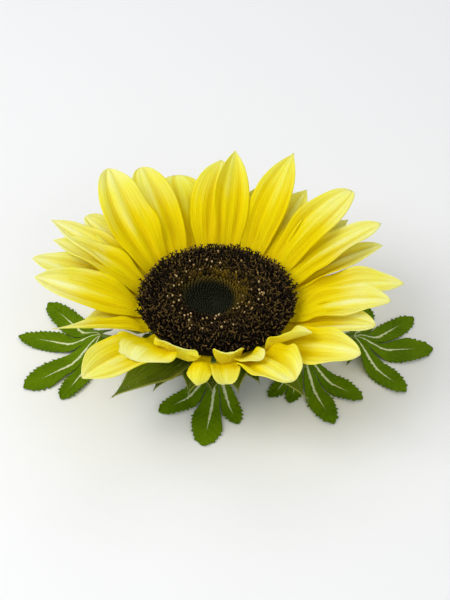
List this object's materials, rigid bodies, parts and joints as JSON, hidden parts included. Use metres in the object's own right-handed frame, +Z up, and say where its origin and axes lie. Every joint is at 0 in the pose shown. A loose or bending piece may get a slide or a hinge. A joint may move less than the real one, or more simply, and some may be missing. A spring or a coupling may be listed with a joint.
{
  "type": "cut sunflower bloom",
  "caption": "Cut sunflower lying face up: yellow ray petals in two layers round a brown disc of florets, green bracts, a short stem stub and a collar of lobed, toothed leaves.",
  "frame": {"origin": "on the surface that the flower lies on, under the middle of the whole part's bounding box", "axes": "+Z up, along the flower's axis out of its face; +X to the right and +Y away from someone who looks at the bloom from its front, where the smaller curled petals are"},
  "size_m": [0.166, 0.1234, 0.0537],
  "materials": {
    "petal_yellow": "satin",
    "floret_brown": "matte",
    "bract_green": "satin",
    "leaf_green": "matte"
  },
  "bodies": {
    "root": {"receptacle_and_stem": "bract_green", "ray_petals": "petal_yellow", "disc_florets": "floret_brown", "leaf_left": "leaf_green", "leaf_front": "leaf_green", "leaf_front_right": "leaf_green", "leaf_right": "leaf_green", "leaf_back": "leaf_green"}
  },
  "joints": []
}
